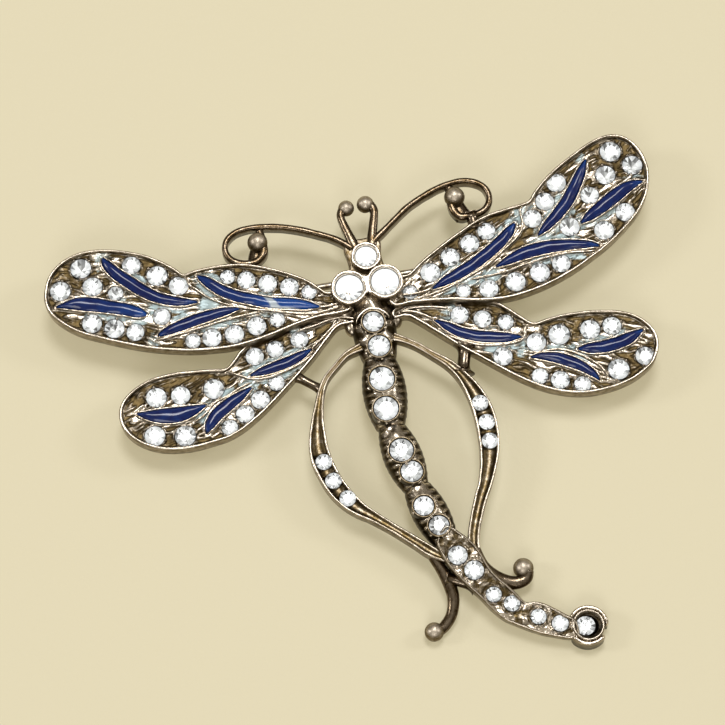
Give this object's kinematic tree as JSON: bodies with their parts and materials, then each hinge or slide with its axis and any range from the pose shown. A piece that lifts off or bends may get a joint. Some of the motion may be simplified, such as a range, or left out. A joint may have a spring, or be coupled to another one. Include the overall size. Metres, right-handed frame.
{
  "type": "insect brooch",
  "caption": "Dragonfly brooch in antiqued metal with rimmed wings, blue enamel leaves, clear cut stones, curled feelers, looping legs and a pin behind.",
  "frame": {"origin": "middle of the bounding box on the surface the brooch lies on", "axes": "+X to the brooch's right wing tip as seen from the front, +Y to the head and feelers, +Z out of the front"},
  "size_m": [0.0674, 0.0556, 0.0059],
  "materials": {
    "metal": "antiqued silver plate, dark in the recesses and polished on the rims",
    "pin_steel": "plated wire",
    "enamel": "glossy deep blue enamel",
    "cut_stone": "polished, foiled behind"
  },
  "bodies": {
    "root": {"frame": "metal", "pin_stem": "pin_steel", "leaf_left_fore_outer": "enamel", "leaf_left_fore_upper": "enamel", "leaf_left_fore_lower": "enamel", "leaf_left_fore_inner": "enamel", "leaf_right_fore_inner": "enamel", "leaf_right_fore_lower": "enamel", "leaf_right_fore_steep": "enamel", "leaf_right_fore_outer": "enamel", "leaf_left_hind_outer": "enamel", "leaf_left_hind_middle": "enamel", "leaf_left_hind_inner": "enamel", "leaf_right_hind_inner": "enamel", "leaf_right_hind_middle": "enamel", "leaf_right_hind_outer": "enamel", "stones_left_fore": "cut_stone", "stones_right_fore": "cut_stone", "stones_left_hind": "cut_stone", "stones_right_hind": "cut_stone", "stone_left_eye": "cut_stone", "stone_right_eye": "cut_stone", "stone_crown": "cut_stone", "stone_body_01": "cut_stone", "stone_body_02": "cut_stone", "stone_body_03": "cut_stone", "stone_body_04": "cut_stone", "stone_body_05": "cut_stone", "stone_body_06": "cut_stone", "stone_body_07": "cut_stone", "stone_body_08": "cut_stone", "stone_body_09": "cut_stone", "stone_body_10": "cut_stone", "stone_body_11": "cut_stone", "stone_body_12": "cut_stone", "stone_body_13": "cut_stone", "stone_body_14": "cut_stone", "stone_tail_end": "cut_stone", "stone_left_leg_1": "cut_stone", "stone_left_leg_2": "cut_stone", "stone_left_leg_3": "cut_stone", "stone_right_leg_1": "cut_stone", "stone_right_leg_2": "cut_stone", "stone_right_leg_3": "cut_stone"}
  },
  "joints": []
}
